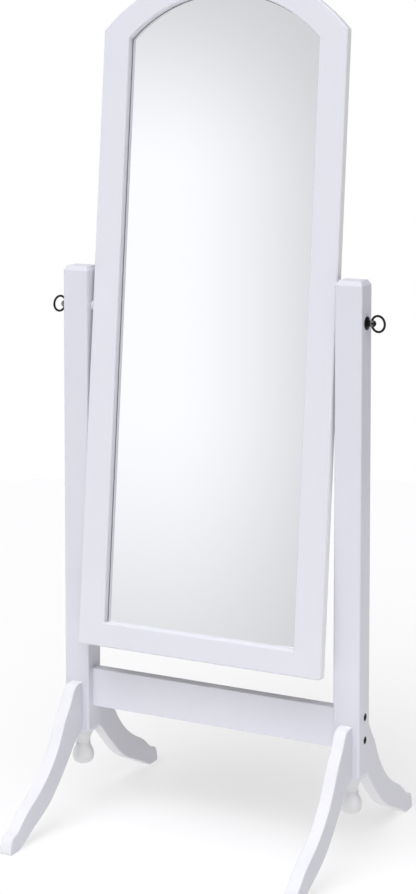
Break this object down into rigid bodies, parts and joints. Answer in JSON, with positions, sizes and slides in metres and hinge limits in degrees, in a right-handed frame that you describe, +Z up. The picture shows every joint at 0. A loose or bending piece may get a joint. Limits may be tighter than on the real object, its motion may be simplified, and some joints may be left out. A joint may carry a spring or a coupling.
{
  "type": "cheval floor mirror",
  "caption": "Free-standing full-length mirror with an arched frame that tilts between two posts on splayed S-curved legs, held by ring-topped thumbscrews.",
  "frame": {"origin": "on the floor, midway between the two posts and under the tilt axis", "axes": "+Z up; +X to the right of the posts as seen from the front; +Y to the back, -Y is the side the mirror faces"},
  "size_m": [0.6306, 0.512, 1.48],
  "materials": {
    "painted_wood": "satin white paint over wood",
    "beech": "bare wood",
    "silvered_glass": "polished",
    "hardboard": "pressed fibreboard",
    "dark_bronze": "dark bronze lacquer, semi-gloss",
    "black_steel": "black oxide",
    "zinc_steel": "zinc plated",
    "brass": "machined",
    "white_nylon": "matte"
  },
  "bodies": {
    "stand": {"post_left": "painted_wood", "post_right": "painted_wood", "cross_rail": "painted_wood", "leg_front_left": "painted_wood", "leg_front_right": "painted_wood", "leg_back_left": "painted_wood", "leg_back_right": "painted_wood", "finial_left": "painted_wood", "finial_right": "painted_wood", "finial_studs": "zinc_steel", "rail_bolts": "black_steel", "barrel_nuts": "zinc_steel", "rail_dowels": "beech", "leg_dowels_left": "beech", "leg_dowels_right": "beech", "escutcheon_left": "dark_bronze", "escutcheon_right": "dark_bronze"},
    "mirror": {"frame_stile_left": "painted_wood", "frame_stile_right": "painted_wood", "frame_lower_rail": "painted_wood", "frame_head": "painted_wood", "frame_head_dowels": "beech", "frame_foot_dowels": "beech", "mirror_glass": "silvered_glass", "back_panel": "hardboard", "panel_clips": "zinc_steel", "clip_screws": "zinc_steel", "threaded_insert_left": "brass", "threaded_insert_right": "brass", "pivot_spacer_left": "white_nylon", "pivot_spacer_right": "white_nylon"},
    "knob_left": {"ring_knob_left": "dark_bronze", "thumbscrew_left": "zinc_steel"},
    "knob_right": {"ring_knob_right": "dark_bronze", "thumbscrew_right": "zinc_steel"}
  },
  "joints": [
    {"name": "mirror_tilt", "type": "hinge", "parent": "stand", "child": "mirror", "pos_m": [0, 0, 0.898], "axis": [1, 0, 0], "continuous": true},
    {"name": "knob_left_turn", "type": "hinge", "parent": "stand", "child": "knob_left", "pos_m": [-0.282, 0, 0.898], "axis": [1, 0, 0], "continuous": true},
    {"name": "knob_right_turn", "type": "hinge", "parent": "stand", "child": "knob_right", "pos_m": [0.282, 0, 0.898], "axis": [1, 0, 0], "continuous": true}
  ]
}
